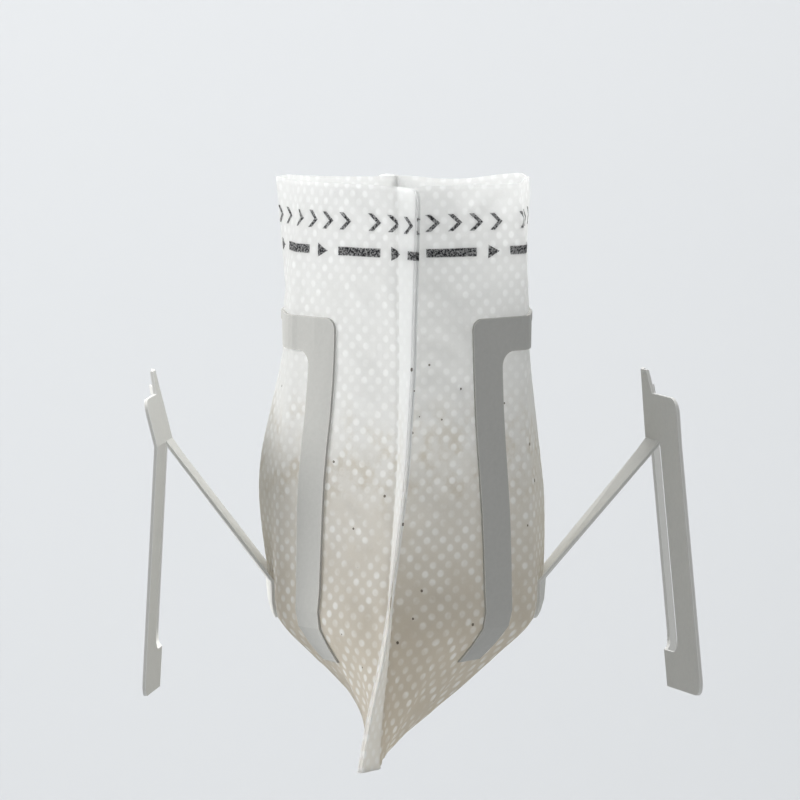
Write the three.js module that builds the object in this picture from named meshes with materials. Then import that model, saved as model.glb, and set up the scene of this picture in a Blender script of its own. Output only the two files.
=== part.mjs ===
import * as THREE from 'three';

// Hanging filter bag for one cup, opened and hung as in use. Millimetres, +Z up.
// The origin is midway between the two rim seats, at the height of the cup's rim.
// -X is the left ear, +X the right ear, and -Y is the side seam nearest the viewer.

// Filter pouch: one web of heat-bonded fibre, folded at the foot and welded along both sides
const MOUTH_Z = 38.6;
const MOUTH_DIP = 1.3;
const FOOT_FOLD_Z = -44.4;
const FOOT_LIP = 0.8;
const WEB_THICKNESS = 0.4;
const SEAM_HEM = 5;
const HEM_THICKNESS = 0.6;
const PANEL_SWELL = 1.1;
const SIDE_HALF = 9;
const CORNER_BEND = 2;

// Sections of the hung pouch. left and right: how far out the two card faces stand.
// drawLeft and drawRight: how far their corners draw in. yLeft and yRight: middle of each face.
// seamX: line of the side welds. near and far: their distance from the middle. turn: swing of the hems.
const SECTIONS = [
  { z: MOUTH_Z, left: 18.5, right: 17.4, drawLeft: 4, drawRight: 0.9, yLeft: -0.4, yRight: -4,
    seamX: -1.2, near: 20, far: 18, turn: 37 },
  { z: 28, left: 17.9, right: 17.6, drawLeft: 2.1, drawRight: 0.7, yLeft: 0.2, yRight: -2.8,
    seamX: -1, near: 20.8, far: 19.2, turn: 30 },
  { z: 19, left: 17.6, right: 17.7, drawLeft: 0.8, drawRight: 0.5, yLeft: 0.5, yRight: -1.8,
    seamX: -0.9, near: 21.4, far: 20.6, turn: 25 },
  { z: 12.8, left: 17.8, right: 17.8, drawLeft: 0.9, drawRight: 0.6, yLeft: 0.5, yRight: -1.5,
    seamX: -0.8, near: 21.8, far: 21.2, turn: 22 },
  { z: 5.6, left: 19.3, right: 18.5, drawLeft: 2, drawRight: 1.2, yLeft: 0.4, yRight: -1.2,
    seamX: -0.9, near: 22, far: 21.6, turn: 18 },
  { z: -2.5, left: 21, right: 19.4, drawLeft: 3, drawRight: 1.7, yLeft: 0.3, yRight: -0.9,
    seamX: -1.1, near: 22.3, far: 22, turn: 14 },
  { z: -9, left: 21.3, right: 20, drawLeft: 3, drawRight: 1.9, yLeft: 0.2, yRight: -0.7,
    seamX: -1.5, near: 22.7, far: 22.6, turn: 10 },
  { z: -20.6, left: 19.9, right: 19.8, drawLeft: 1.5, drawRight: 1.5, yLeft: 0.2, yRight: -0.5,
    seamX: -2.2, near: 24.4, far: 24.4, turn: 0 },
  { z: -26.2, left: 18.8, right: 18.7, drawLeft: 1, drawRight: 1, yLeft: 0.2, yRight: -0.4,
    seamX: -2.6, near: 26.3, far: 26.3, turn: -6 },
  { z: -31, left: 14.2, right: 13.7, drawLeft: 0.8, drawRight: 0.8, yLeft: 0.1, yRight: -0.3,
    seamX: -3, near: 28, far: 28, turn: -12 },
  { z: -35, left: 10, right: 9.3, drawLeft: 0.6, drawRight: 0.6, yLeft: 0.1, yRight: -0.2,
    seamX: -3.4, near: 29.2, far: 29.2, turn: -18 },
  { z: -39, left: 6.8, right: 4.4, drawLeft: 0.4, drawRight: 0.4, yLeft: 0, yRight: -0.1,
    seamX: -3.7, near: 30, far: 30, turn: -24 },
  { z: FOOT_FOLD_Z, left: 4.4, right: -3.6, drawLeft: 0, drawRight: 0, yLeft: 0, yRight: 0,
    seamX: -4, near: 30.6, far: 30.6, turn: -32 },
];

// Card frames: inverted U of board, glued to each face of the pouch
const BOARD = 0.45;
const GLUE_GAP = 0.35;
const FRAME_TOP_Z = 19;
const FRAME_FOOT_Z = -31;
const FRAME_BAR = 5;
const FRAME_LEG = 5.2;
const FRAME_CORNER = 1.7;
const CUT_CORNER = 2.2;
const DIE_CUT = 0.3;

// Ears: a loop that hangs outside the cup, on a tongue that runs back to the pouch
const EAR_HALF_WIDTH = 13.3;
const EAR_SHOULDER = 7;
const EAR_DROP = 36.9;
const EAR_CORNER = 2.4;
const NUB_HEIGHT = 3.3;
const NUB_BASE_HALF = 3.9;
const NUB_TIP_HALF = 2.1;
const TONGUE_HALF_WIDTH = 5.4;
const TONGUE_CORNER = 2.2;
const TONGUE_FOLD_Z = -20.6;
const PATCH_HEIGHT = 5.6;
const SEAT_SPAN_LEFT = 34.6;
const SEAT_SPAN_RIGHT = 35.4;
const NEAR_FLARE_LEFT = 8;
const NEAR_FLARE_RIGHT = 20;
const FAR_FLARE_LEFT = 8;
const FAR_FLARE_RIGHT = 8;
const UPPER_LEAN_LEFT = 14;
const UPPER_LEAN_RIGHT = -4;
const LOWER_LEAN_LEFT = 3;
const LOWER_LEAN_RIGHT = 5.2;

const ARC_STEPS = 4;
const PATCH_FOOT_Z = TONGUE_FOLD_Z - PATCH_HEIGHT;

const lerp = THREE.MathUtils.lerp;
const rad = THREE.MathUtils.degToRad;

const LEVEL_COUNT = 17;
const INNER_FOOT_Z = FOOT_FOLD_Z + 1.4;

// Heights at which the pouch is cut into flat strips. The glued card is cut at the same ones.
function levelHeights() {
  const steps = Array.from({ length: LEVEL_COUNT + 1 }, (_, i) => lerp(MOUTH_Z, INNER_FOOT_Z, i / LEVEL_COUNT));
  const fixed = [FRAME_TOP_Z, FRAME_TOP_Z - FRAME_BAR, TONGUE_FOLD_Z, PATCH_FOOT_Z];
  const near = (z) => fixed.some((f) => Math.abs(f - z) < 0.9);
  const free = steps.filter((z, i) => i === 0 || i === LEVEL_COUNT || !near(z));
  return [...free, ...fixed].sort((p, q) => q - p);
}

const levels = levelHeights();

// Smooth value of one section property at height z
function stationValue(key, z) {
  const rows = SECTIONS;
  if (z >= rows[0].z) return rows[0][key];
  if (z <= rows[rows.length - 1].z) return rows[rows.length - 1][key];
  const i = rows.findIndex((row, k) => k > 0 && z >= row.z) - 1;
  const a = rows[i];
  const b = rows[i + 1];
  const before = rows[Math.max(i - 1, 0)];
  const after = rows[Math.min(i + 2, rows.length - 1)];
  const t = (z - a.z) / (b.z - a.z);
  const slopeA = i > 0 ? (b[key] - before[key]) / (b.z - before.z) : (b[key] - a[key]) / (b.z - a.z);
  const slopeB = i + 2 < rows.length ? (after[key] - a[key]) / (after.z - a.z) : (b[key] - a[key]) / (b.z - a.z);
  const span = b.z - a.z;
  const t2 = t * t;
  const t3 = t2 * t;
  return (2 * t3 - 3 * t2 + 1) * a[key] + (t3 - 2 * t2 + t) * span * slopeA
    + (3 * t2 - 2 * t3) * b[key] + (t3 - t2) * span * slopeB;
}

// The three turning points of one quarter of the section: face middle, corner and seam
function quarter(side, end, z, inward) {
  const left = side < 0;
  const reach = stationValue(left ? 'left' : 'right', z) - inward;
  const draw = stationValue(left ? 'drawLeft' : 'drawRight', z);
  const depth = stationValue(end < 0 ? 'near' : 'far', z) - inward * 2;
  const crease = new THREE.Vector2(side * reach, stationValue(left ? 'yLeft' : 'yRight', z));
  const corner = new THREE.Vector2(side * (reach - draw), crease.y + end * SIDE_HALF);
  return { crease, corner, seam: new THREE.Vector2(stationValue('seamX', z), end * depth) };
}

// The panels swell less towards the foot, where both walls are pulled flat
function swellAt(z) {
  return PANEL_SWELL * THREE.MathUtils.clamp((z - FOOT_FOLD_Z) / 20, 0, 1);
}

// Point of the section at distance s from the crease, and the direction out of the pouch
function sectionPoint(side, end, z, s, inward = 0) {
  const { crease, corner, seam } = quarter(side, end, z, inward);
  const sideWay = corner.clone().sub(crease);
  const panelWay = seam.clone().sub(corner);
  const sideLength = sideWay.length();
  const panelLength = panelWay.length();
  sideWay.normalize();
  panelWay.normalize();
  const bendStart = sideLength - CORNER_BEND;
  const bendEnd = sideLength + CORNER_BEND;
  let point;
  let way;
  if (s <= bendStart) {
    point = crease.clone().addScaledVector(sideWay, s);
    way = sideWay.clone();
  } else if (s >= bendEnd) {
    const along = Math.min(s - sideLength, panelLength);
    const t = (along - CORNER_BEND) / (panelLength - CORNER_BEND);
    const swell = swellAt(z) * 4 * t * (1 - t);
    way = panelWay.clone();
    const out = new THREE.Vector2(way.y * side * end, -way.x * side * end);
    point = corner.clone().addScaledVector(panelWay, along).addScaledVector(out, swell);
  } else {
    const t = (s - bendStart) / (2 * CORNER_BEND);
    const from = crease.clone().addScaledVector(sideWay, bendStart);
    const to = corner.clone().addScaledVector(panelWay, CORNER_BEND);
    point = from.multiplyScalar((1 - t) ** 2).addScaledVector(corner, 2 * t * (1 - t)).addScaledVector(to, t * t);
    way = sideWay.clone().lerp(panelWay, t).normalize();
  }
  const turn = side * end;
  const outward = new THREE.Vector2(way.y * turn, -way.x * turn);
  return { point, outward, length: sideLength + panelLength };
}

// Distances from the middle of a face at which a quarter of the section has its vertices
const bendStops = Array.from({ length: 5 }, (_, i) => SIDE_HALF - CORNER_BEND + i);
const panelStops = [14.8, 18.4];
const END_STOPS = 2;

function quarterLoop(side, end, z, inward) {
  const { length } = sectionPoint(side, end, z, 0, inward);
  const stops = [0, SIDE_HALF * 0.4, ...bendStops, ...panelStops];
  for (let i = 1; i <= END_STOPS; i += 1) {
    stops.push(lerp(panelStops.at(-1), length, i / (END_STOPS + 1)));
  }
  return stops.map((s) => sectionPoint(side, end, z, s, inward).point);
}

// The hem of a side seam at one level: two points at its root and two at its edge
function hemPoints(end, z) {
  const seam = quarter(-1, end, z, 0).seam;
  const turn = rad(stationValue('turn', z));
  const way = new THREE.Vector2(-end * Math.sin(turn), end * Math.cos(turn));
  const across = new THREE.Vector2(-way.y, way.x).multiplyScalar(HEM_THICKNESS / 2);
  const edge = seam.clone().addScaledVector(way, SEAM_HEM);
  return [seam.clone().sub(across), edge.clone().sub(across), edge.clone().add(across), seam.clone().add(across)];
}

// Whole outer outline at one height, counter-clockwise seen from above
function outerLoop(z) {
  const nearHem = hemPoints(-1, z);
  const farHem = hemPoints(1, z);
  return [
    ...quarterLoop(1, 1, z, 0), ...farHem, ...quarterLoop(-1, 1, z, 0).slice(1).reverse(),
    ...quarterLoop(-1, -1, z, 0), ...nearHem, ...quarterLoop(1, -1, z, 0).slice(1).reverse(),
  ];
}

function innerLoop(z) {
  const seam = (end) => quarter(-1, end, z, WEB_THICKNESS).seam;
  return [
    ...quarterLoop(1, 1, z, WEB_THICKNESS), seam(1), ...quarterLoop(-1, 1, z, WEB_THICKNESS).slice(1).reverse(),
    ...quarterLoop(-1, -1, z, WEB_THICKNESS), seam(-1), ...quarterLoop(1, -1, z, WEB_THICKNESS).slice(1).reverse(),
  ];
}

// The cut edge of the mouth sags on the far side
function mouthDip(p) {
  return MOUTH_DIP * THREE.MathUtils.smoothstep(p.y, 2, 16);
}

function meshGeometry(points, faces) {
  const geometry = new THREE.BufferGeometry();
  geometry.setAttribute('position', new THREE.Float32BufferAttribute(points.flatMap((p) => [p.x, p.y, p.z]), 3));
  geometry.setIndex(faces.flat());
  geometry.computeVertexNormals();
  return geometry;
}

// Closed pouch: outer wall down to the fold at the foot, inner wall to just above it
function pouchGeometry() {
  const outerHeights = [...levels, FOOT_FOLD_Z, FOOT_FOLD_Z - FOOT_LIP];
  const outer = outerHeights.map((z) => outerLoop(Math.max(z, FOOT_FOLD_Z)));
  const inner = levels.map((z) => innerLoop(z));
  const points = [];
  const faces = [];
  const addRing = (loop, z) => {
    const first = points.length;
    loop.forEach((p) => points.push(new THREE.Vector3(p.x, p.y, z - (z === MOUTH_Z ? mouthDip(p) : 0))));
    return first;
  };
  const joinRings = (upper, lower, count, flip) => {
    for (let i = 0; i < count; i += 1) {
      const j = (i + 1) % count;
      const quad = [[upper + i, lower + i, lower + j], [upper + i, lower + j, upper + j]];
      quad.forEach((f) => faces.push(flip ? [f[0], f[2], f[1]] : f));
    }
  };
  const outerStarts = outer.map((loop, i) => addRing(loop, outerHeights[i]));
  const innerStarts = inner.map((loop, i) => addRing(loop, levels[i]));
  outerStarts.slice(1).forEach((start, i) => joinRings(outerStarts[i], start, outer[0].length, false));
  innerStarts.slice(1).forEach((start, i) => joinRings(innerStarts[i], start, inner[0].length, true));
  const rim = THREE.ShapeUtils.triangulateShape(outer[0], [[...inner[0]].reverse()]);
  const outerCount = outer[0].length;
  const innerCount = inner[0].length;
  const rimIndex = (i) => (i < outerCount ? i : innerStarts[0] + innerCount - 1 - (i - outerCount));
  rim.forEach((f) => faces.push(f.map(rimIndex)));
  const last = outer.length - 1;
  THREE.ShapeUtils.triangulateShape(outer[last], []).forEach((f) => {
    faces.push([outerStarts[last] + f[0], outerStarts[last] + f[2], outerStarts[last] + f[1]]);
  });
  const floor = inner.length - 1;
  THREE.ShapeUtils.triangulateShape(inner[floor], []).forEach((f) => {
    faces.push(f.map((i) => innerStarts[floor] + i));
  });
  return meshGeometry(points, faces);
}

// Splits flat triangles wherever they cross the line axis = value
function splitAt(triangles, axis, value) {
  const result = [];
  const cross = (p, q) => {
    const [a, b] = p[axis] < q[axis] || (p[axis] === q[axis] && p.x + p.y < q.x + q.y) ? [p, q] : [q, p];
    const t = (value - a[axis]) / (b[axis] - a[axis]);
    const cut = a.clone().lerp(b, t);
    cut[axis] = value;
    return cut;
  };
  triangles.forEach((tri) => {
    const sides = tri.map((p) => (Math.abs(p[axis] - value) < 1e-7 ? 0 : Math.sign(p[axis] - value)));
    if (!sides.includes(1) || !sides.includes(-1)) {
      result.push(tri);
      return;
    }
    [-1, 1].forEach((keep) => {
      const kept = [];
      tri.forEach((p, i) => {
        const next = (i + 1) % 3;
        if (sides[i] === keep || sides[i] === 0) kept.push(p);
        if (sides[i] * sides[next] < 0) kept.push(cross(p, tri[next]));
      });
      for (let i = 1; i < kept.length - 1; i += 1) result.push([kept[0], kept[i], kept[i + 1]]);
    });
  });
  return result;
}

// Board of one thickness, die-cut flat to an outline and then bent by place(u, v, w)
function boardGeometry(outline, foldsU, foldsV, place) {
  const contour = outline.extractPoints(ARC_STEPS);
  const all = [...contour.shape, ...contour.holes.flat()];
  const clean = (list) => list.filter((p, i) => p.distanceTo(list[(i + 1) % list.length]) > 1e-6);
  const shape = clean(contour.shape);
  const holes = contour.holes.map(clean);
  const corners = [...shape, ...holes.flat()];
  if (all.length === 0) return null;
  let triangles = THREE.ShapeUtils.triangulateShape(shape, holes).map((f) => f.map((i) => corners[i]));
  foldsU.forEach((u) => { triangles = splitAt(triangles, 'x', u); });
  foldsV.forEach((v) => { triangles = splitAt(triangles, 'y', v); });
  const keyOf = (p) => `${Math.round(p.x * 1e5)},${Math.round(p.y * 1e5)}`;
  const flat = new Map();
  triangles.flat().forEach((p) => {
    if (!flat.has(keyOf(p))) flat.set(keyOf(p), { p, index: flat.size });
  });
  const flatPoints = [...flat.values()].map((entry) => entry.p);
  const count = flatPoints.length;
  const points = [BOARD / 2, -BOARD / 2].flatMap((w) => flatPoints.map((p) => place(p.x, p.y, w)));
  const faces = [];
  const open = new Map();
  triangles.forEach((tri) => {
    const ids = tri.map((p) => flat.get(keyOf(p)).index);
    if (new Set(ids).size < 3) return;
    faces.push(ids, [ids[0] + count, ids[2] + count, ids[1] + count]);
    ids.forEach((id, i) => {
      const next = ids[(i + 1) % 3];
      if (open.has(`${next},${id}`)) open.delete(`${next},${id}`);
      else open.set(`${id},${next}`, [id, next]);
    });
  });
  open.forEach(([a, b]) => {
    faces.push([a, a + count, b + count], [a, b + count, b]);
  });
  return meshGeometry(points, faces);
}

// A place on the glued card: u across the face, z up, w through the board
function onFace(side, u, z, w) {
  const end = Math.sign(u) || -1;
  const { point, outward } = sectionPoint(side, end, z, Math.abs(u));
  if (Math.abs(u) < 1e-6) outward.set(side, 0);
  const lift = GLUE_GAP + BOARD / 2 + w;
  return new THREE.Vector3(point.x + outward.x * lift, point.y + outward.y * lift, z);
}

// Mirrored boards are wound the other way, so the right side flips its thickness and its faces
function finish(geometry, side) {
  if (side > 0) return geometry;
  const index = geometry.getIndex();
  for (let i = 0; i < index.count; i += 3) {
    const b = index.getX(i + 1);
    index.setX(i + 1, index.getX(i + 2));
    index.setX(i + 2, b);
  }
  geometry.computeVertexNormals();
  return geometry;
}

const OPENING_HALF = EAR_HALF_WIDTH + DIE_CUT;
const FRAME_HALF = OPENING_HALF + FRAME_LEG;

// Inverted U of the frame, with the notch that the nub of the ear left in the bar
function frameOutline() {
  const barFoot = FRAME_TOP_Z - FRAME_BAR;
  const notchTop = barFoot + NUB_HEIGHT + DIE_CUT;
  const outline = new THREE.Shape();
  outline.moveTo(-FRAME_HALF, FRAME_FOOT_Z);
  outline.lineTo(-OPENING_HALF, FRAME_FOOT_Z);
  outline.lineTo(-OPENING_HALF, barFoot - CUT_CORNER);
  outline.absarc(-OPENING_HALF + CUT_CORNER, barFoot - CUT_CORNER, CUT_CORNER, Math.PI, Math.PI / 2, true);
  outline.lineTo(-NUB_BASE_HALF - DIE_CUT, barFoot);
  outline.lineTo(-NUB_TIP_HALF - DIE_CUT, notchTop);
  outline.lineTo(NUB_TIP_HALF + DIE_CUT, notchTop);
  outline.lineTo(NUB_BASE_HALF + DIE_CUT, barFoot);
  outline.lineTo(OPENING_HALF - CUT_CORNER, barFoot);
  outline.absarc(OPENING_HALF - CUT_CORNER, barFoot - CUT_CORNER, CUT_CORNER, Math.PI / 2, 0, true);
  outline.lineTo(OPENING_HALF, FRAME_FOOT_Z);
  outline.lineTo(FRAME_HALF, FRAME_FOOT_Z);
  outline.lineTo(FRAME_HALF, FRAME_TOP_Z - FRAME_CORNER);
  outline.absarc(FRAME_HALF - FRAME_CORNER, FRAME_TOP_Z - FRAME_CORNER, FRAME_CORNER, 0, Math.PI / 2, false);
  outline.lineTo(-FRAME_HALF + FRAME_CORNER, FRAME_TOP_Z);
  outline.absarc(-FRAME_HALF + FRAME_CORNER, FRAME_TOP_Z - FRAME_CORNER, FRAME_CORNER, Math.PI / 2, Math.PI, false);
  outline.closePath();
  return outline;
}

function frameGeometry(side) {
  const foldsU = [0, ...[...bendStops, ...panelStops].flatMap((s) => [-s, s])];
  const place = (u, v, w) => onFace(side, u, v, w);
  return finish(boardGeometry(frameOutline(), foldsU, levels, place), side);
}

// Bends of one ear
function earBends(side) {
  const left = side < 0;
  const seat = new THREE.Vector2(left ? SEAT_SPAN_LEFT : SEAT_SPAN_RIGHT, 0);
  const foldPoint = onFace(side, 0, TONGUE_FOLD_Z, 0);
  const fold = new THREE.Vector2(Math.abs(foldPoint.x), foldPoint.z);
  return {
    seat,
    fold,
    armLength: seat.distanceTo(fold),
    middleY: foldPoint.y,
    nearFlare: rad(left ? NEAR_FLARE_LEFT : NEAR_FLARE_RIGHT),
    farFlare: rad(left ? FAR_FLARE_LEFT : FAR_FLARE_RIGHT),
    upper: rad(left ? UPPER_LEAN_LEFT : UPPER_LEAN_RIGHT),
    lower: rad(left ? LOWER_LEAN_LEFT : LOWER_LEAN_RIGHT),
  };
}

// Ear blank, v = 0 at the rim seat: loop with nub, and a U-shaped cut that frees the tongue
function earOutline(armLength) {
  const tongueEnd = armLength + PATCH_HEIGHT;
  const outline = new THREE.Shape();
  outline.moveTo(-EAR_HALF_WIDTH + EAR_CORNER, -EAR_DROP);
  outline.lineTo(EAR_HALF_WIDTH - EAR_CORNER, -EAR_DROP);
  outline.absarc(EAR_HALF_WIDTH - EAR_CORNER, -EAR_DROP + EAR_CORNER, EAR_CORNER, -Math.PI / 2, 0, false);
  outline.lineTo(EAR_HALF_WIDTH, EAR_SHOULDER - CUT_CORNER);
  outline.absarc(EAR_HALF_WIDTH - CUT_CORNER, EAR_SHOULDER - CUT_CORNER, CUT_CORNER, 0, Math.PI / 2, false);
  outline.lineTo(NUB_BASE_HALF, EAR_SHOULDER);
  outline.lineTo(NUB_TIP_HALF, EAR_SHOULDER + NUB_HEIGHT);
  outline.lineTo(-NUB_TIP_HALF, EAR_SHOULDER + NUB_HEIGHT);
  outline.lineTo(-NUB_BASE_HALF, EAR_SHOULDER);
  outline.lineTo(-EAR_HALF_WIDTH + CUT_CORNER, EAR_SHOULDER);
  outline.absarc(-EAR_HALF_WIDTH + CUT_CORNER, EAR_SHOULDER - CUT_CORNER, CUT_CORNER, Math.PI / 2, Math.PI, false);
  outline.lineTo(-EAR_HALF_WIDTH, -EAR_DROP + EAR_CORNER);
  outline.absarc(-EAR_HALF_WIDTH + EAR_CORNER, -EAR_DROP + EAR_CORNER, EAR_CORNER, Math.PI, Math.PI * 1.5, false);
  outline.closePath();
  const cutHalf = TONGUE_HALF_WIDTH + DIE_CUT;
  const cutEnd = tongueEnd + DIE_CUT;
  const cutRadius = TONGUE_CORNER + DIE_CUT;
  const cut = new THREE.Path();
  cut.moveTo(-cutHalf, 0);
  cut.lineTo(-cutHalf, -cutEnd + cutRadius);
  cut.absarc(-cutHalf + cutRadius, -cutEnd + cutRadius, cutRadius, Math.PI, Math.PI * 1.5, false);
  cut.lineTo(cutHalf - cutRadius, -cutEnd);
  cut.absarc(cutHalf - cutRadius, -cutEnd + cutRadius, cutRadius, -Math.PI / 2, 0, false);
  cut.lineTo(cutHalf, 0);
  cut.lineTo(TONGUE_HALF_WIDTH, 0);
  cut.lineTo(TONGUE_HALF_WIDTH, -tongueEnd + TONGUE_CORNER);
  cut.absarc(TONGUE_HALF_WIDTH - TONGUE_CORNER, -tongueEnd + TONGUE_CORNER, TONGUE_CORNER, 0, -Math.PI / 2, true);
  cut.lineTo(-TONGUE_HALF_WIDTH + TONGUE_CORNER, -tongueEnd);
  cut.absarc(-TONGUE_HALF_WIDTH + TONGUE_CORNER, -tongueEnd + TONGUE_CORNER, TONGUE_CORNER,
    -Math.PI / 2, -Math.PI, true);
  cut.lineTo(-TONGUE_HALF_WIDTH, 0);
  cut.closePath();
  outline.holes.push(cut);
  return outline;
}

// The loop of the ear: its halves flare outward from the middle crease
function onLoop(side, bends, u, v, w) {
  const lean = v > 0 ? bends.upper : bends.lower;
  const flare = u < 0 ? bends.nearFlare : bends.farFlare;
  const run = Math.abs(v) * Math.sin(lean) + bends.seat.x + Math.abs(u) * Math.sin(flare);
  return new THREE.Vector3(side * (run + w), bends.middleY + u * Math.cos(flare), v * Math.cos(lean));
}

// The tongue: from the rim seat down to the pouch, then flat on its face
function onTongue(side, bends, u, v, w) {
  const down = -v;
  if (down > bends.armLength + 1e-6) return onFace(side, u, TONGUE_FOLD_Z - (down - bends.armLength), w);
  const t = down / bends.armLength;
  const start = onLoop(side, bends, u, 0, 0);
  const stop = onFace(side, u, TONGUE_FOLD_Z, 0);
  const slope = bends.seat.clone().sub(bends.fold).normalize();
  const nudge = new THREE.Vector3(side * slope.y, 0, -slope.x);
  const plain = new THREE.Vector3(side, 0, 0);
  const thick = nudge.lerp(plain, t < 1e-6 || t > 1 - 1e-6 ? 0.5 : 0).normalize();
  return start.lerp(stop, t).addScaledVector(thick, w);
}

// Whether a point of the blank is inside the round-cornered tongue
function isOnTongue(u, v, tongueEnd) {
  if (v > 1e-6 || Math.abs(u) > TONGUE_HALF_WIDTH + DIE_CUT / 2) return false;
  const cornerU = Math.max(Math.abs(u) - (TONGUE_HALF_WIDTH - TONGUE_CORNER), 0);
  const cornerV = Math.max(-v - (tongueEnd - TONGUE_CORNER), 0);
  return Math.hypot(cornerU, cornerV) < TONGUE_CORNER + DIE_CUT / 2;
}

function earGeometry(side) {
  const bends = earBends(side);
  const tongueEnd = bends.armLength + PATCH_HEIGHT;
  const place = (u, v, w) => {
    if (isOnTongue(u, v, tongueEnd)) return onTongue(side, bends, u, v, w);
    return onLoop(side, bends, u, v, w);
  };
  const patchLevels = levels.filter((z) => z < TONGUE_FOLD_Z && z > PATCH_FOOT_Z);
  const foldsV = [0, -bends.armLength, ...patchLevels.map((z) => -bends.armLength - (TONGUE_FOLD_Z - z))];
  return finish(boardGeometry(earOutline(bends.armLength), [0], foldsV, place), side);
}

const webMaterial = new THREE.MeshStandardMaterial({ color: 0xf1f0ec, roughness: 0.95, metalness: 0 });
const boardMaterial = new THREE.MeshStandardMaterial({ color: 0xd9d7cf, roughness: 0.85, metalness: 0 });

function namedMesh(name, geometry, material) {
  const mesh = new THREE.Mesh(geometry, material);
  mesh.name = name;
  return mesh;
}

const bag = new THREE.Group();
bag.add(namedMesh('filter_pouch', pouchGeometry(), webMaterial));
[['left', -1], ['right', 1]].forEach(([word, side]) => {
  bag.add(namedMesh(`${word}_card_frame`, frameGeometry(side), boardMaterial));
  bag.add(namedMesh(`${word}_card_ear`, earGeometry(side), boardMaterial));
});

export default bag;
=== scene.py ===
import math
from functools import partial

import bpy
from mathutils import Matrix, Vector


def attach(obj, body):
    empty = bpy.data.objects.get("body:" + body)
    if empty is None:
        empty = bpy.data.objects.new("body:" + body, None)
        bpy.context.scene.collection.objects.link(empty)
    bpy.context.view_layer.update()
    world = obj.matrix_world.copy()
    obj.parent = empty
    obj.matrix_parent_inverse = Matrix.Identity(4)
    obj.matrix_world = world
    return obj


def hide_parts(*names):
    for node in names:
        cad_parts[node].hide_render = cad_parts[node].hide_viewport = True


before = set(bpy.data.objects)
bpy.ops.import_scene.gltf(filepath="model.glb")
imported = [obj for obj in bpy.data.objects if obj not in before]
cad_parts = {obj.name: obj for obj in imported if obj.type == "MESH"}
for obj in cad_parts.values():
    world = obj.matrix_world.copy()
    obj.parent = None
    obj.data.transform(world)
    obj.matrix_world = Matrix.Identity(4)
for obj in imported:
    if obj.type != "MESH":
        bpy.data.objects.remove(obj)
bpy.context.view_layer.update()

# FILTER POUCH
# One web of white heat-bonded fibre, folded at the foot and welded along both sides. The cloth
# is about 0.2 mm thick, lets some light through, and carries rows of small pressed bond dots and
# a print.

# Up to the stage, lengths are in millimetres and angles in degrees
MILLIMETRE = 0.001
MOUTH_Z = 38.6
FOOT_Z = -44.6
HALF_FACE = 32.0
HEM = 5.0
SIDE_HALF = 9.0
CLOTH_PROUD = 0.12
CLOTH_THICKNESS = 0.22
HEM_PARTING = 0.16
FOOT_PARTING = 0.12
SEAM_PINCH = 1.2
CORNER_BEND = 2.0
MOUTH_BEND = 0.7
BEND_CHANGE = (20, 30)
PANEL_SWELL = 1.1
SWELL_RISE = 20
MOUTH_ZONE = 12
FAR_SAG = 1.3
FAR_SAG_REACH = (2, 16)
HEM_CORNER = 1.6
HEM_CORNER_ZONE = 5
EDGE_WAVE = 0.25
EDGE_WAVE_PITCH = 0.12
CARD_HALF = 19.5
CARD_TOP = 19.5
CARD_FOOT = -31.5
CALM_FADE = 2.5
SLOW_DENT = 0.28
SLOW_PITCH = (0.13, 0.1)
SLOW_SHIFT = 3.1
QUICK_DENT = 0.1
QUICK_PITCH = (0.41, 0.33)
QUICK_SHIFT = (1.7, 5)
FOOT_CREASE = 0.3
FOOT_CREASE_DEPTH = (18, 40)
FOOT_CREASE_START = 20
FOOT_CREASE_PITCH = (0.85, 0.12)
COLUMN_STEP = 0.5
ROWS_DOWN = 150

# Hung shape by height, from mouth to foot: reach of the left and right face, how far their
# corners are drawn in, y of each face's middle, x of the side welds, distance of the near and far
# weld, and the turn of the hems
SECTIONS = [
    (38.6, 18.7, 17.5, 4.3, 1.0, -0.4, -4.0, -1.2, 20.0, 18.0, 37),
    (28.0, 18.0, 17.6, 2.4, 0.7, 0.2, -2.8, -1.0, 20.8, 19.2, 30),
    (19.0, 17.6, 17.7, 0.8, 0.5, 0.5, -1.8, -0.9, 21.4, 20.6, 25),
    (12.8, 17.8, 17.8, 0.9, 0.6, 0.5, -1.5, -0.8, 21.8, 21.2, 22),
    (5.6, 19.3, 18.5, 2.0, 1.2, 0.4, -1.2, -0.9, 22.0, 21.6, 18),
    (-2.5, 21.0, 19.4, 3.0, 1.7, 0.3, -0.9, -1.1, 22.3, 22.0, 14),
    (-9.0, 21.3, 20.0, 3.0, 1.9, 0.2, -0.7, -1.5, 22.7, 22.6, 10),
    (-20.6, 19.9, 19.8, 1.5, 1.5, 0.2, -0.5, -2.2, 24.4, 24.4, 0),
    (-26.2, 18.8, 18.7, 1.0, 1.0, 0.2, -0.4, -2.6, 26.3, 26.3, -6),
    (-31.0, 14.2, 13.7, 0.8, 0.8, 0.1, -0.3, -3.0, 28.0, 28.0, -12),
    (-35.0, 10.0, 9.3, 0.6, 0.6, 0.1, -0.2, -3.4, 29.2, 29.2, -18),
    (-39.0, 6.8, 4.4, 0.4, 0.4, 0.0, -0.1, -3.7, 30.0, 30.0, -24),
    (-44.4, 4.4, -3.6, 0.0, 0.0, 0.0, 0.0, -4.0, 30.6, 30.6, -32),
]
LEFT, RIGHT, DRAW_LEFT, DRAW_RIGHT, Y_LEFT, Y_RIGHT, SEAM_X, NEAR, FAR, TURN = range(1, 11)


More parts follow.
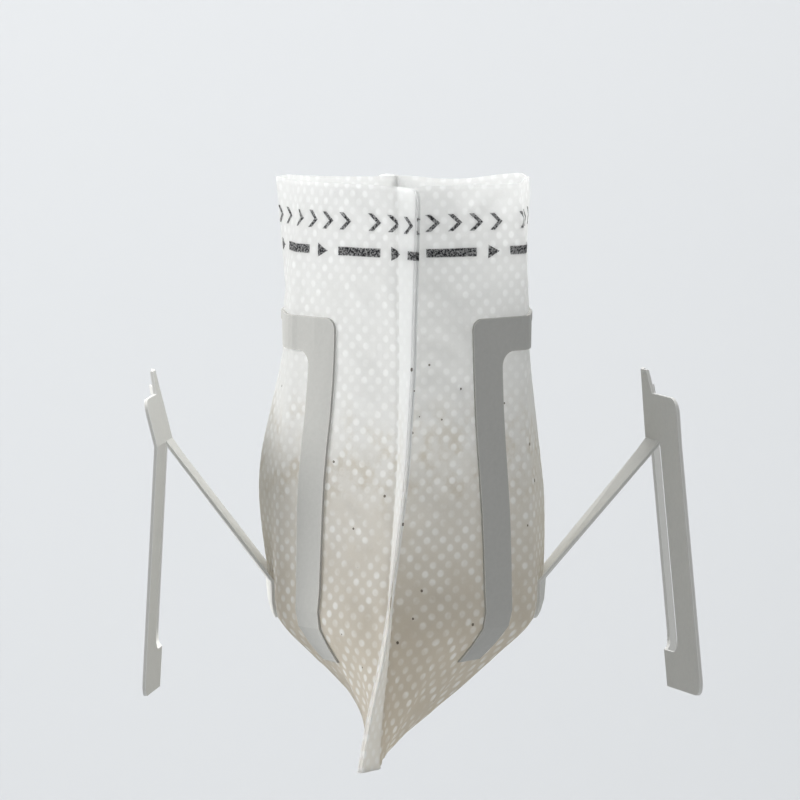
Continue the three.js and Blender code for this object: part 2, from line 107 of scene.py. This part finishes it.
def section_value(key, height):
    """Smooth value of one section property at a height."""
    if height >= SECTIONS[0][0]:
        return SECTIONS[0][key]
    if height <= SECTIONS[-1][0]:
        return SECTIONS[-1][key]
    i = next(k for k in range(1, len(SECTIONS)) if height >= SECTIONS[k][0]) - 1
    a, b = SECTIONS[i], SECTIONS[i + 1]
    before = SECTIONS[max(i - 1, 0)]
    after = SECTIONS[min(i + 2, len(SECTIONS) - 1)]
    span = b[0] - a[0]
    t = (height - a[0]) / span
    slope_a = (b[key] - before[key]) / (b[0] - before[0])
    slope_b = (after[key] - a[key]) / (after[0] - a[0])
    return (
        (2 * t**3 - 3 * t**2 + 1) * a[key]
        + (t**3 - 2 * t**2 + t) * span * slope_a
        + (3 * t**2 - 2 * t**3) * b[key]
        + (t**3 - t**2) * span * slope_b
    )


def ramp(value, low, high):
    """Smooth rise from 0 to 1 between two values."""
    t = min(max((value - low) / (high - low), 0), 1)
    return t * t * (3 - 2 * t)


def noise_wave(a, b):
    """Slow irregular wave between about -1 and 1; its numbers only set pitch and phase."""
    broad = math.sin(2.1 * a + 1.3 * math.sin(1.7 * b + 0.4))
    narrow = math.sin(4.3 * b + 2.2 * math.sin(1.1 * a))
    return broad * 0.6 + narrow * 0.4


def cloth_point(side, along, height):
    """Point and outward way of one face: along runs from the near hem, negative, to the far one."""
    end = -1 if along < 0 else 1
    reach = section_value(LEFT if side < 0 else RIGHT, height)
    draw = section_value(DRAW_LEFT if side < 0 else DRAW_RIGHT, height)
    depth = section_value(NEAR if end < 0 else FAR, height)
    middle = Vector((side * reach, section_value(Y_LEFT if side < 0 else Y_RIGHT, height)))
    corner = Vector((side * (reach - draw), middle.y + end * SIDE_HALF))
    seam = Vector((section_value(SEAM_X, height), end * depth))

    if abs(along) > HALF_FACE:
        turn = math.radians(section_value(TURN, height))
        hem_way = Vector((-end * math.sin(turn), end * math.cos(turn)))
        hem_side = Vector((-hem_way.y, hem_way.x))
        hem_side *= 1 if hem_side.x * side > 0 else -1
        return seam + hem_way * (abs(along) - HALF_FACE) + hem_side * HEM_PARTING, hem_side

    face_way = corner - middle
    panel_way = seam - corner
    face_length, panel_length = face_way.length, panel_way.length
    face_way.normalize()
    panel_way.normalize()
    bend = CORNER_BEND + (MOUTH_BEND - CORNER_BEND) * ramp(height, *BEND_CHANGE)
    distance = abs(along) / HALF_FACE * (face_length + panel_length)
    if distance <= face_length - bend:
        way = face_way
        point = middle + face_way * distance
    elif distance >= face_length + bend:
        way = panel_way
        run = min(distance - face_length, panel_length)
        t = (run - bend) / (panel_length - bend)
        out = Vector((way.y, -way.x)) * side * end
        swell = PANEL_SWELL * min(max((height - FOOT_Z) / SWELL_RISE, 0), 1)
        point = corner + panel_way * run + out * swell * 4 * t * (1 - t)
    else:
        t = (distance - face_length + bend) / (2 * bend)
        start, stop = corner - face_way * bend, corner + panel_way * bend
        point = start * (1 - t) ** 2 + corner * 2 * t * (1 - t) + stop * t * t
        way = face_way.lerp(panel_way, t).normalized()
    outward = Vector((way.y, -way.x)) * side * end
    pinch = ramp(abs(along), HALF_FACE - SEAM_PINCH, HALF_FACE)
    return point + outward * CLOTH_PROUD * (1 - pinch), outward


def cloth_drop(point, along, height):
    """How far the mouth's cut edge lies under its full height, fading out below."""
    near_top = ramp(height, MOUTH_Z - MOUTH_ZONE, MOUTH_Z)
    sag = FAR_SAG * ramp(point.y, *FAR_SAG_REACH) * near_top
    edge = max(abs(along) - (HALF_FACE + HEM - HEM_CORNER), 0) / HEM_CORNER
    corner_zone = ramp(height, MOUTH_Z - HEM_CORNER_ZONE, MOUTH_Z)
    rounding = HEM_CORNER * (1 - math.sqrt(max(1 - edge * edge, 0))) * corner_zone
    wave = noise_wave(point.x * EDGE_WAVE_PITCH, point.y * EDGE_WAVE_PITCH)
    return sag + rounding + EDGE_WAVE * wave * near_top


def cloth_crumple(side, along, height):
    """Small dents and soft creases of the wet cloth, none under the glued card or on the weld."""
    under_card = (
        (1 - ramp(abs(along), CARD_HALF, CARD_HALF + CALM_FADE))
        * (1 - ramp(height, CARD_TOP, CARD_TOP + CALM_FADE))
        * ramp(height, CARD_FOOT - CALM_FADE, CARD_FOOT)
    )
    on_weld = ramp(abs(along), HALF_FACE - CALM_FADE, HALF_FACE)
    free = (1 - under_card) * (1 - on_weld)
    slow = noise_wave(along * SLOW_PITCH[0] + side * SLOW_SHIFT, height * SLOW_PITCH[1])
    quick_along = along * QUICK_PITCH[0] - side * QUICK_SHIFT[0]
    quick = noise_wave(quick_along, height * QUICK_PITCH[1] + QUICK_SHIFT[1])
    crease_along = (abs(along) - FOOT_CREASE_START) * FOOT_CREASE_PITCH[0]
    crease = math.sin(crease_along + FOOT_CREASE_PITCH[1] * height + side)
    crease *= ramp(-height, *FOOT_CREASE_DEPTH)
    return free * (SLOW_DENT * slow + QUICK_DENT * quick + FOOT_CREASE * crease)


half_web = HALF_FACE + HEM
columns = [COLUMN_STEP * i - half_web for i in range(int(2 * half_web / COLUMN_STEP) + 1)]
heights = [MOUTH_Z + (FOOT_Z - MOUTH_Z) * i / ROWS_DOWN for i in range(ROWS_DOWN + 1)]
cloth_vertices = []
cloth_values = {"across": [], "up": [], "hem": [], "right_face": []}
for side in (-1, 1):
    for height in heights if side < 0 else heights[::-1]:
        for along in columns:
            flat, outward = cloth_point(side, along, height)
            flat = flat + outward * cloth_crumple(side, along, height)
            level = height - cloth_drop(flat, along, height)
            if height <= FOOT_Z:
                flat = flat + Vector((side * FOOT_PARTING, 0))
            cloth_vertices.append([value * MILLIMETRE for value in (flat.x, flat.y, level)])
            cloth_values["across"].append(side * (along + HALF_FACE))
            cloth_values["up"].append(height)
            cloth_values["hem"].append(max(abs(along) - HALF_FACE, 0.0))
            cloth_values["right_face"].append(max(side, 0))
width = len(columns)
cloth_faces = []
for row in range(2 * ROWS_DOWN + 1):
    for column in range(width - 1):
        a = row * width + column
        cloth_faces.append((a, a + width, a + width + 1, a + 1))
cloth_mesh = bpy.data.meshes.new("filter_web")
cloth_mesh.from_pydata(cloth_vertices, [], cloth_faces)
for label, values in cloth_values.items():
    attribute = cloth_mesh.attributes.new(label, "FLOAT", "POINT")
    attribute.data.foreach_set("value", values)
cloth_mesh.polygons.foreach_set("use_smooth", [True] * len(cloth_mesh.polygons))
web = bpy.data.objects.new("filter_web", cloth_mesh)
bpy.context.scene.collection.objects.link(web)
thicken = web.modifiers.new("cloth_thickness", "SOLIDIFY")
thicken.thickness = CLOTH_THICKNESS * MILLIMETRE
thicken.offset = -1
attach(web, "root")
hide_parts("filter_pouch")


def new_group(name, inputs):
    """Empty node group with plain number inputs and one number output, Mask."""
    group = bpy.data.node_groups.new(name, "ShaderNodeTree")
    for label in inputs:
        group.interface.new_socket(name=label, in_out="INPUT", socket_type="NodeSocketFloat")
    group.interface.new_socket(name="Mask", in_out="OUTPUT", socket_type="NodeSocketFloat")
    source = group.nodes.new("NodeGroupInput")
    sink = group.nodes.new("NodeGroupOutput")
    return group, source.outputs, sink.inputs["Mask"]


def math_node(tree, operation, a, b=None, clamp=False):
    """Math node whose inputs are sockets or plain numbers; gives its output socket."""
    node = tree.nodes.new("ShaderNodeMath")
    node.operation = operation
    node.use_clamp = clamp
    for socket, value in zip(node.inputs, (a, b)):
        if isinstance(value, (int, float)):
            socket.default_value = value
        elif value is not None:
            tree.links.new(value, socket)
    return node.outputs[0]


def map_range(tree, value, start, stop, low=0.0, high=1.0, smooth=True):
    """Value between start and stop carried to low and high, and held beyond them."""
    node = tree.nodes.new("ShaderNodeMapRange")
    node.interpolation_type = "SMOOTHSTEP" if smooth else "LINEAR"
    tree.links.new(value, node.inputs["Value"])
    ends = {"From Min": start, "From Max": stop, "To Min": low, "To Max": high}
    for label, number in ends.items():
        node.inputs[label].default_value = number
    return node.outputs[0]


def step_between(tree, value, low, high, soft):
    """1 where low < value < high, with soft edges, and 0 outside."""
    rise = map_range(tree, value, low - soft, low + soft)
    fall = map_range(tree, value, high - soft, high + soft, 1, 0)
    return math_node(tree, "MULTIPLY", rise, fall)


def noise(tree, vector, scale, detail=2.0, rough=0.5, distortion=0.0):
    """Noise value at a coordinate."""
    node = tree.nodes.new("ShaderNodeTexNoise")
    node.inputs["Scale"].default_value = scale
    node.inputs["Detail"].default_value = detail
    node.inputs["Roughness"].default_value = rough
    node.inputs["Distortion"].default_value = distortion
    tree.links.new(vector, node.inputs["Vector"])
    return node.outputs["Fac"]


def mix_colour(tree, factor, a, b):
    """Colour mix; a and b are sockets or RGBA values, factor a socket or a number."""
    node = tree.nodes.new("ShaderNodeMix")
    node.data_type = "RGBA"
    for socket, value in ((node.inputs[0], factor), (node.inputs[6], a), (node.inputs[7], b)):
        if isinstance(value, (int, float, tuple)):
            socket.default_value = value
        else:
            tree.links.new(value, socket)
    return node.outputs[2]


def add_bump(tree, shader, height, strength, depth):
    """Relief on a shader from a height value; depth is in metres."""
    bump = tree.nodes.new("ShaderNodeBump")
    bump.inputs["Strength"].default_value = strength
    bump.inputs["Distance"].default_value = depth
    tree.links.new(height, bump.inputs["Height"])
    tree.links.new(bump.outputs[0], shader.inputs["Normal"])


DOT_PITCH = 2.45
DOT_ROW = 1.22
DOT_RADIUS = 0.58
DOT_EDGE = (0.55, 1.2)


def bond_dots():
    """Rows of round bond dots, every second row moved by half a pitch."""
    group, source, mask = new_group("bond_dots", ["Across", "Up", "Pitch", "Row", "Radius"])
    calc = partial(math_node, group)
    row = calc("DIVIDE", source["Up"], source["Row"])
    odd = calc("MULTIPLY", calc("PINGPONG", calc("FLOOR", row), 1.0), 0.5)
    column = calc("ADD", calc("DIVIDE", source["Across"], source["Pitch"]), odd)
    dx = calc("MULTIPLY", calc("SUBTRACT", calc("FRACT", column), 0.5), source["Pitch"])
    dy = calc("MULTIPLY", calc("SUBTRACT", calc("FRACT", row), 0.5), source["Row"])
    squared = calc("ADD", calc("MULTIPLY", dx, dx), calc("MULTIPLY", dy, dy))
    ratio = calc("DIVIDE", calc("SQRT", squared), source["Radius"])
    group.links.new(map_range(group, ratio, *DOT_EDGE, 1, 0), mask)
    return group


PRINT_UP = 28.8
BAR_REPEAT = 14.9
BAR_START_LEFT = -11.9
BAR_START_RIGHT = 4.4
BAR_LENGTH = 8.6
BAR_HALF_HEIGHT = 0.62
ARROW_START = 10.7
ARROW_LENGTH = 2.2
ARROW_TAPER = 0.48
ARROW_HALF_HEIGHT = 1.0
MARK_UP = 33.2
MARK_REPEAT = 17.1
MARK_START_LEFT = -6.0
MARK_START_RIGHT = 3.9
MARK_GROUP_LENGTH = 15.0
MARK_PITCH = 3.75
MARK_SLANT = 1.25
MARK_HALF_HEIGHT = 1.25
MARK_STROKE = (1.95, 2.85)
END_SOFT = 0.1
BAR_SOFT = 0.08
MARK_SOFT = 0.06


def print_band():
    """Bars and triangles in one row, and groups of four chevrons above them."""
    group, source, mask = new_group("print_band", ["Across", "Up", "Right face"])
    calc = partial(math_node, group)
    step = partial(step_between, group)

    def cell_of(left_start, right_start, repeat):
        start = calc("MULTIPLY", source["Right face"], right_start - left_start)
        from_start = calc("SUBTRACT", source["Across"], calc("ADD", start, left_start))
        return calc("MULTIPLY", calc("FRACT", calc("DIVIDE", from_start, repeat)), repeat)

    cell = cell_of(BAR_START_LEFT, BAR_START_RIGHT, BAR_REPEAT)
    height = calc("SUBTRACT", source["Up"], PRINT_UP)
    bar_rows = step(height, -BAR_HALF_HEIGHT, BAR_HALF_HEIGHT, BAR_SOFT)
    bar = calc("MULTIPLY", step(cell, 0.0, BAR_LENGTH, END_SOFT), bar_rows)
    offset = calc("SUBTRACT", cell, ARROW_START)
    slope = calc("ADD", calc("ABSOLUTE", height), calc("MULTIPLY", offset, ARROW_TAPER))
    in_arrow = calc("LESS_THAN", slope, ARROW_HALF_HEIGHT)
    arrow = calc("MULTIPLY", step(offset, 0.0, ARROW_LENGTH, BAR_SOFT), in_arrow)

    mark_cell = cell_of(MARK_START_LEFT, MARK_START_RIGHT, MARK_REPEAT)
    lift = calc("SUBTRACT", source["Up"], MARK_UP)
    mark_x = calc("MULTIPLY", calc("FRACT", calc("DIVIDE", mark_cell, MARK_PITCH)), MARK_PITCH)
    bend = calc("ADD", mark_x, calc("MULTIPLY", calc("ABSOLUTE", lift), MARK_SLANT))
    mark_rows = step(lift, -MARK_HALF_HEIGHT, MARK_HALF_HEIGHT, MARK_SOFT)
    chevron = calc("MULTIPLY", step(bend, *MARK_STROKE, END_SOFT), mark_rows)
    chevron = calc("MULTIPLY", chevron, calc("LESS_THAN", mark_cell, MARK_GROUP_LENGTH))
    group.links.new(calc("MAXIMUM", calc("MAXIMUM", bar, arrow), chevron), mask)
    return group


def attribute_value(tree, name):
    """Value stored on the mesh under a name."""
    node = tree.nodes.new("ShaderNodeAttribute")
    node.attribute_name = name
    return node.outputs["Fac"]


def place_in_millimetres(tree):
    """Object coordinates in millimetres."""
    texture = tree.nodes.new("ShaderNodeTexCoord")
    grow = tree.nodes.new("ShaderNodeVectorMath")
    grow.operation = "SCALE"
    grow.inputs["Scale"].default_value = 1 / MILLIMETRE
    tree.links.new(texture.outputs["Object"], grow.inputs[0])
    return grow.outputs[0]


def new_material(name):
    """Node material with its tree, its principled shader and its output node."""
    material = bpy.data.materials.new(name)
    material.use_nodes = True
    tree = material.node_tree
    return material, tree, tree.nodes["Principled BSDF"], tree.nodes["Material Output"]


CLOTH_SHADE = (0.84, 0.845, 0.835, 1)
CLOTH_WHITE = (0.93, 0.93, 0.92, 1)
STRAND_WHITE = (0.93, 0.93, 0.93, 1)
CLOUD_SHADE = (0.82, 0.825, 0.815, 1)
TEA_TINT = (0.62, 0.53, 0.38, 1)
TEA_STAIN = (0.56, 0.48, 0.34, 1)
DOT_WHITE = (0.98, 0.985, 0.98, 1)
WELD_WHITE = (0.95, 0.955, 0.95, 1)
INK = (0.03, 0.03, 0.035, 1)
LEAF_DUST = (0.1, 0.075, 0.05, 1)
# Noises: scale per millimetre, detail, roughness and distortion
FIBRE_NOISE = (2.4, 5.0, 0.75)
STRAND_NOISE = (1.1, 6.0, 0.5, 3.0)
CLOUD_NOISE = (0.3, 3.0, 0.55)
STAIN_NOISE = (0.28, 5.0, 0.65)
GRAIN_NOISE = (3.4, 3.0, 0.7)
SPECK_NOISE = (0.21, 2.0, 0.5)
STRAND_SHARE = 0.35
CLOUD_SHARE = 0.2
TEA_TOP, TEA_DEEP = 12, -20
TEA_WANDER = 16.0
TEA_SHARE = 0.4
STAIN_RANGE = (0.44, 0.7)
STAIN_SHARE = 0.32
STAIN_BAND = (-8.0, 5.0)
STAIN_FADE = 5.0
DOT_CONTRAST = 3.2
DOT_FADE = 1.05
WELD_BAND = (0.3, 20.0)
WELD_SOFT = 0.25
WELD_SHARE = 0.6
WELD_RIB = 0.7
GRAIN_RANGE = (0.4, 0.56)
INK_THIN = 0.38
INK_GRAIN = 0.6
SPECK_SCALE = 0.24
SPECK_SIZE = 0.11
SPECK_SHARE = 0.8
SPECK_TOP = 13.0
FIBRE_RELIEF = 0.6
DOT_RELIEF = 0.5
RIB_RELIEF = 0.35
CLOTH_BUMP = (0.4, 0.0002)
CLOTH_ROUGHNESS = 0.92
CLOTH_SPECULAR = 0.2
LIGHT_THROUGH = 0.68

cloth, tree, shader, output = new_material("bonded_fibre_cloth")
calc = partial(math_node, tree)
mix = partial(mix_colour, tree)
spot = place_in_millimetres(tree)
parts = tree.nodes.new("ShaderNodeSeparateXYZ")
tree.links.new(spot, parts.inputs[0])
object_z = parts.outputs["Z"]
around, up, hem = (attribute_value(tree, name) for name in ("across", "up", "hem"))
dots = tree.nodes.new("ShaderNodeGroup")
dots.node_tree = bond_dots()
tree.links.new(around, dots.inputs["Across"])
tree.links.new(up, dots.inputs["Up"])
dots.inputs["Pitch"].default_value = DOT_PITCH
dots.inputs["Row"].default_value = DOT_ROW
dots.inputs["Radius"].default_value = DOT_RADIUS
ink = tree.nodes.new("ShaderNodeGroup")
ink.node_tree = print_band()
tree.links.new(around, ink.inputs["Across"])
tree.links.new(up, ink.inputs["Up"])
tree.links.new(attribute_value(tree, "right_face"), ink.inputs["Right face"])

# Fibres, strands and slow clouds of the bonded cloth
fibres = noise(tree, spot, *FIBRE_NOISE)
strands = noise(tree, spot, *STRAND_NOISE)
cloud = noise(tree, spot, *CLOUD_NOISE)
ground = mix(fibres, CLOTH_SHADE, CLOTH_WHITE)
ground = mix(calc("MULTIPLY", strands, STRAND_SHARE), ground, STRAND_WHITE)
ground = mix(calc("MULTIPLY", cloud, CLOUD_SHARE), ground, CLOUD_SHADE)

# Tea drawn up from below, and a mottled tide line
tea_height = calc("ADD", object_z, calc("MULTIPLY", cloud, TEA_WANDER))
warm = map_range(tree, tea_height, TEA_TOP, TEA_DEEP, high=TEA_SHARE, smooth=False)
tinted = mix(warm, ground, TEA_TINT)
mottle = noise(tree, spot, *STAIN_NOISE)
stain = map_range(tree, mottle, *STAIN_RANGE, high=STAIN_SHARE)
stained = calc("MULTIPLY", stain, step_between(tree, object_z, *STAIN_BAND, STAIN_FADE))
tinted = mix(stained, tinted, TEA_STAIN)

# Bond dots that fade in patches, and the ribbed weld of the hems
pressed = calc("SUBTRACT", calc("MULTIPLY", cloud, DOT_CONTRAST), DOT_FADE, clamp=True)
dotted = mix(calc("MULTIPLY", dots.outputs["Mask"], pressed), tinted, DOT_WHITE)
weld = step_between(tree, hem, *WELD_BAND, WELD_SOFT)
ribs = calc("PINGPONG", calc("DIVIDE", up, WELD_RIB), 1.0)
welded = mix(calc("MULTIPLY", weld, WELD_SHARE), dotted, WELD_WHITE)

# Grainy print, and fine specks of leaf low on the cloth
grain = map_range(tree, noise(tree, spot, *GRAIN_NOISE), *GRAIN_RANGE, smooth=False)
cover = calc("ADD", calc("MULTIPLY", grain, INK_GRAIN), INK_THIN)
printed = mix(calc("MULTIPLY", ink.outputs["Mask"], cover), welded, INK)
speck_cells = tree.nodes.new("ShaderNodeTexVoronoi")
speck_cells.inputs["Scale"].default_value = SPECK_SCALE
tree.links.new(spot, speck_cells.inputs["Vector"])
speck_size = calc("MULTIPLY", noise(tree, spot, *SPECK_NOISE), SPECK_SIZE)
speck_near = calc("LESS_THAN", speck_cells.outputs["Distance"], speck_size)
speck_low = calc("LESS_THAN", object_z, SPECK_TOP)
specks = calc("MULTIPLY", speck_near, calc("MULTIPLY", speck_low, SPECK_SHARE))
final = mix(specks, printed, LEAF_DUST)

tree.links.new(final, shader.inputs["Base Color"])
shader.inputs["Roughness"].default_value = CLOTH_ROUGHNESS
shader.inputs["Specular IOR Level"].default_value = CLOTH_SPECULAR
dents = calc("MULTIPLY", dots.outputs["Mask"], DOT_RELIEF)
relief = calc("SUBTRACT", calc("MULTIPLY", fibres, FIBRE_RELIEF), dents)
relief = calc("ADD", relief, calc("MULTIPLY", calc("MULTIPLY", weld, ribs), RIB_RELIEF))
add_bump(tree, shader, relief, *CLOTH_BUMP)
glow = tree.nodes.new("ShaderNodeBsdfTranslucent")
tree.links.new(final, glow.inputs["Color"])
blend = tree.nodes.new("ShaderNodeMixShader")
blend.inputs[0].default_value = LIGHT_THROUGH
tree.links.new(shader.outputs[0], blend.inputs[1])
tree.links.new(glow.outputs[0], blend.inputs[2])
tree.links.new(blend.outputs[0], output.inputs["Surface"])
cloth_mesh.materials.append(cloth)

# CARD FRAMES
# Inverted U of light grey board on each face of the pouch, glued flat, with a clean die-cut edge
# that carries a painted highlight, a paler colour on its rounded rim. The board is uncoated and has
# a faint fibre grain.

BOARD_DARK = (0.4, 0.4, 0.38, 1)
BOARD_LIGHT = (0.48, 0.48, 0.455, 1)
BOARD_PATCH = (0.5, 0.495, 0.47, 1)
# Paler colour of the painted highlight on the cut edges
BOARD_EDGE_HIGHLIGHT = (0.74, 0.73, 0.69, 1)
PALEST_BOARD = 0.9
PULP_NOISE = (1.6, 4.0, 0.65)
PATCH_NOISE = (0.12, 2.0, 0.5)
PATCH_SHARE = 0.35
BOARD_BUMP = (0.2, 0.0001)
BOARD_ROUGHNESS = 0.8
BOARD_SPECULAR = 0.3
EDGE_RADIUS = 0.22
EDGE_SAMPLES = 6
EDGE_TURN = (0.995, 0.9)
EDGE_HIGHLIGHT_SHARE = 0.6


def board_material(name, lift):
    """Uncoated board with a painted highlight on its cut edge; lift multiplies its colours."""
    material, tree, shader, _ = new_material(name)
    mix = partial(mix_colour, tree)

    def lifted(colour):
        return tuple(min(PALEST_BOARD, part * lift) for part in colour[:3]) + (1,)

    spot = place_in_millimetres(tree)
    pulp = noise(tree, spot, *PULP_NOISE)
    patchy = math_node(tree, "MULTIPLY", noise(tree, spot, *PATCH_NOISE), PATCH_SHARE)
    face = mix(pulp, lifted(BOARD_DARK), lifted(BOARD_LIGHT))
    face = mix(patchy, face, lifted(BOARD_PATCH))
    rounded = tree.nodes.new("ShaderNodeBevel")
    rounded.samples = EDGE_SAMPLES
    rounded.inputs["Radius"].default_value = EDGE_RADIUS * MILLIMETRE
    facing = tree.nodes.new("ShaderNodeNewGeometry")
    agree = tree.nodes.new("ShaderNodeVectorMath")
    agree.operation = "DOT_PRODUCT"
    tree.links.new(rounded.outputs[0], agree.inputs[0])
    tree.links.new(facing.outputs["Normal"], agree.inputs[1])
    turn = agree.outputs["Value"]
    # Painted highlight: the cut edge is painted paler where the bevelled normal turns away from the
    # face's normal
    edge_highlight = map_range(tree, turn, *EDGE_TURN, high=EDGE_HIGHLIGHT_SHARE, smooth=False)
    face = mix(edge_highlight, face, lifted(BOARD_EDGE_HIGHLIGHT))
    tree.links.new(face, shader.inputs["Base Color"])
    shader.inputs["Roughness"].default_value = BOARD_ROUGHNESS
    shader.inputs["Specular IOR Level"].default_value = BOARD_SPECULAR
    add_bump(tree, shader, pulp, *BOARD_BUMP)
    return material


def dress(names, material):
    """Give these CAD pieces one material."""
    for name in names:
        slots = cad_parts[name].data.materials
        slots.clear()
        slots.append(material)


dress(("left_card_frame", "right_card_frame"), board_material("light_grey_board", 1.0))

# CARD EARS
# Loop with a nub that hangs outside the cup, on a tongue that bends back over the rim to a glued
# patch. The same kind of board as the frames', in a paler tone: partly the whiter back side of the
# board, partly painted light where the ears catch more light than the frames.

# Ear colours lifted partly for the board's whiter back side and partly as painted light on the
# brighter-lit ears
EAR_BACK_AND_LIGHT_LIFT = 1.45

dress(("left_card_ear", "right_card_ear"), board_material("whiter_back_and_lit_board", EAR_BACK_AND_LIGHT_LIFT))

# STAGE
# Pale grey floor and backdrop in one sweep, soft light from the left, and a long-lens camera
# a little above the middle of the part.

# From here on, lengths are in metres
FLOOR_Z = -0.9
FLOOR_FRONT = -3.0
BACKDROP_TOP = 3.0
BACKDROP_HALF = 4
SWEEP_START = 2.0
SWEEP_RADIUS = 0.4
SWEEP_STEPS = 32
BACKDROP_SHADE = (0.62, 0.635, 0.645, 1)
BACKDROP_LIGHT = (0.66, 0.67, 0.68, 1)
WASH_SCALE = 0.002
PAPER_ROUGHNESS = 0.9
WORLD_COLOUR = (0.97, 0.98, 1.0, 1)
WORLD_STRENGTH = 0.44

profile = [(FLOOR_FRONT, FLOOR_Z)]
for i in range(SWEEP_STEPS + 1):
    angle = i * math.pi / 2 / SWEEP_STEPS
    rise = SWEEP_RADIUS * (1 - math.cos(angle))
    profile.append((SWEEP_START + SWEEP_RADIUS * math.sin(angle), FLOOR_Z + rise))
profile.append((SWEEP_START + SWEEP_RADIUS, BACKDROP_TOP))
corners = [(x, y, z) for x in (-BACKDROP_HALF, BACKDROP_HALF) for y, z in profile]
count = len(profile)
quads = [(i, i + 1, count + i + 1, count + i) for i in range(count - 1)]
backdrop_mesh = bpy.data.meshes.new("backdrop")
backdrop_mesh.from_pydata(corners, [], quads)
backdrop_mesh.polygons.foreach_set("use_smooth", [True] * len(backdrop_mesh.polygons))
backdrop = bpy.data.objects.new("backdrop", backdrop_mesh)
bpy.context.scene.collection.objects.link(backdrop)
paper, tree, shader, _ = new_material("backdrop_paper")
wash = noise(tree, place_in_millimetres(tree), WASH_SCALE)
wash = mix_colour(tree, wash, BACKDROP_SHADE, BACKDROP_LIGHT)
tree.links.new(wash, shader.inputs["Base Color"])
shader.inputs["Roughness"].default_value = PAPER_ROUGHNESS
backdrop_mesh.materials.append(paper)


def area_light(name, place, target, size, power):
    """Soft square light aimed at a point."""
    data = bpy.data.lights.new(name, "AREA")
    data.shape = "SQUARE"
    data.size = size
    data.energy = power
    lamp = bpy.data.objects.new(name, data)
    lamp.location = place
    aim = Vector(target) - Vector(place)
    lamp.rotation_euler = aim.to_track_quat("-Z", "Y").to_euler()
    bpy.context.scene.collection.objects.link(lamp)


# Name, place, target, side of the square, power in watts
LIGHTS = [
    ("window_left", (-1.0, -0.03, 0.4), (0, 0, 0), 0.5, 12.6),
    ("back_top", (0.05, 0.5, 0.95), (0, 0, 0), 0.6, 11),
    ("fill_right", (0.9, -0.7, 0.35), (0, 0, 0), 0.8, 1.8),
    ("backdrop_wash", (-0.5, 0.9, 0.9), (0.1, 2.4, -0.2), 1.4, 32),
]
for light in LIGHTS:
    area_light(*light)
world = bpy.data.worlds.new("studio")
world.use_nodes = True
background = world.node_tree.nodes["Background"]
background.inputs["Color"].default_value = WORLD_COLOUR
background.inputs["Strength"].default_value = WORLD_STRENGTH
bpy.context.scene.world = world

# The lens shows 6.8 picture points for each millimetre at the object, in a picture 800 wide
CAMERA_DISTANCE = 1.2
CAMERA_ELEVATION = math.radians(5.6)
CAMERA_AIM = Vector((-0.0009, 0, 0.0056))
SENSOR_WIDTH = 36
POINTS_PER_METRE = 6800
PICTURE_WIDTH = 800

camera_data = bpy.data.cameras.new("camera")
camera_data.sensor_width = SENSOR_WIDTH
camera_data.lens = SENSOR_WIDTH * POINTS_PER_METRE * CAMERA_DISTANCE / PICTURE_WIDTH
camera = bpy.data.objects.new("camera", camera_data)
camera_way = Vector((0, -math.cos(CAMERA_ELEVATION), math.sin(CAMERA_ELEVATION)))
camera.location = CAMERA_AIM + camera_way * CAMERA_DISTANCE
camera.rotation_euler = (math.pi / 2 - CAMERA_ELEVATION, 0, 0)
bpy.context.scene.collection.objects.link(camera)
bpy.context.scene.camera = camera
bpy.context.scene.view_settings.view_transform = "Standard"
